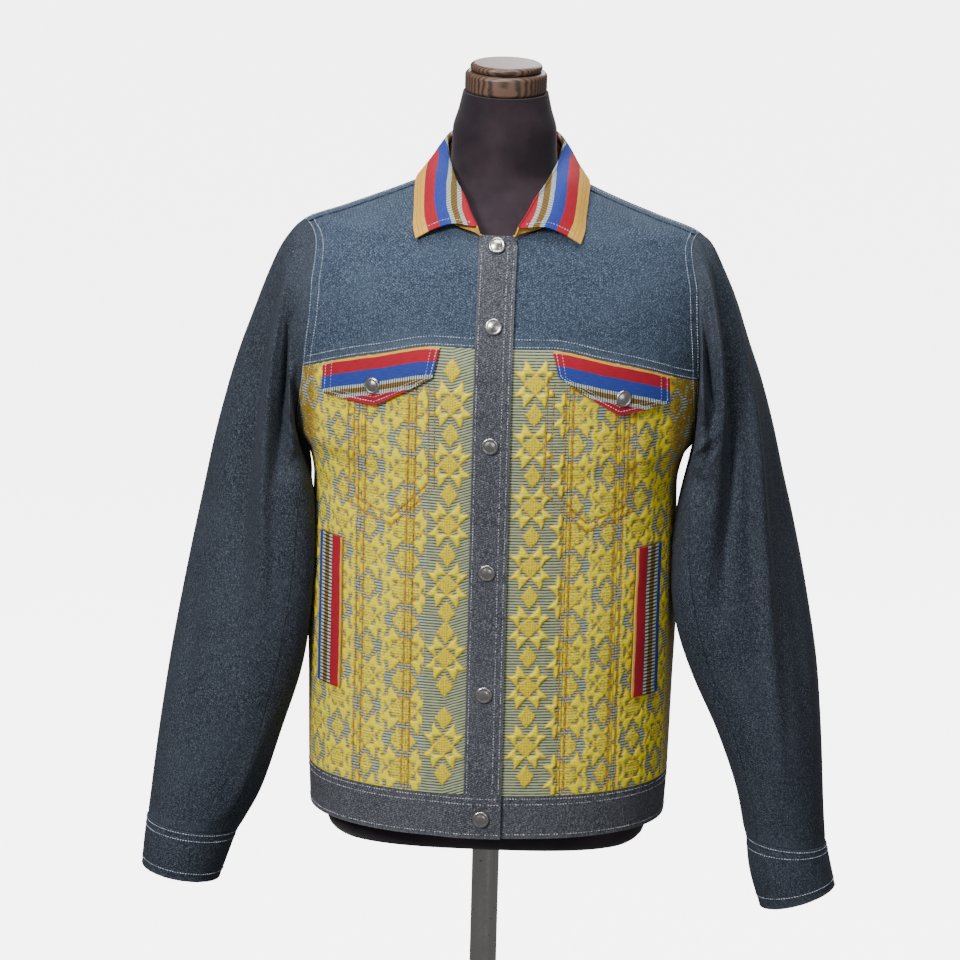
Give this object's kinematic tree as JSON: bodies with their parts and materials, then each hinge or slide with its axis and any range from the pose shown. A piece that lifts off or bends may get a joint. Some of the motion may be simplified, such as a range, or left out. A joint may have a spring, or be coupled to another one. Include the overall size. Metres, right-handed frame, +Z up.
{
  "type": "trucker jacket on a limbless dress form",
  "caption": "Waist-length trucker jacket with snap front, turned-down collar, flap chest pockets and welt side pockets, worn by a limbless dress form on a round-based stand.",
  "frame": {"origin": "centre of the stand base's underside, on the axis of the pole", "axes": "+Z up along the pole; the jacket's front faces -Y; +X is the wearer's left"},
  "size_m": [0.6425, 0.34, 1.398],
  "materials": {
    "denim": "slate-blue cotton denim, matt",
    "charcoal_denim": "charcoal cotton denim, matt",
    "jacquard": "raised yellow figures on a ribbed grey-green ground, matt",
    "striped_cotton": "striped cotton, matt",
    "snap_metal": "bright nickel plate",
    "form_jersey": "dark jersey, matt",
    "wood": "brown varnish, satin",
    "pole_steel": "plated steel tube",
    "base_paint": "dark paint, satin"
  },
  "bodies": {
    "root": {"front_yoke_right": "denim", "front_centre_right": "jacquard", "front_middle_right": "jacquard", "front_side_right": "jacquard", "pocket_flap_right": "striped_cotton", "pocket_welt_right": "striped_cotton", "sleeve_top_right": "denim", "sleeve_under_right": "denim", "cuff_right": "denim", "flap_snap_right": "snap_metal", "front_yoke_left": "denim", "front_centre_left": "jacquard", "front_middle_left": "jacquard", "front_side_left": "jacquard", "pocket_flap_left": "striped_cotton", "pocket_welt_left": "striped_cotton", "sleeve_top_left": "denim", "sleeve_under_left": "denim", "cuff_left": "denim", "flap_snap_left": "snap_metal", "back_panel": "jacquard", "back_yoke": "denim", "hem_band": "charcoal_denim", "placket_over": "charcoal_denim", "placket_under": "charcoal_denim", "collar": "striped_cotton", "snap_1": "snap_metal", "snap_2": "snap_metal", "snap_3": "snap_metal", "snap_4": "snap_metal", "snap_5": "snap_metal", "snap_6": "snap_metal", "form_torso": "form_jersey", "neck_cap_lower": "wood", "neck_cap_upper": "wood", "stand_pole": "pole_steel", "stand_base": "base_paint"}
  },
  "joints": []
}
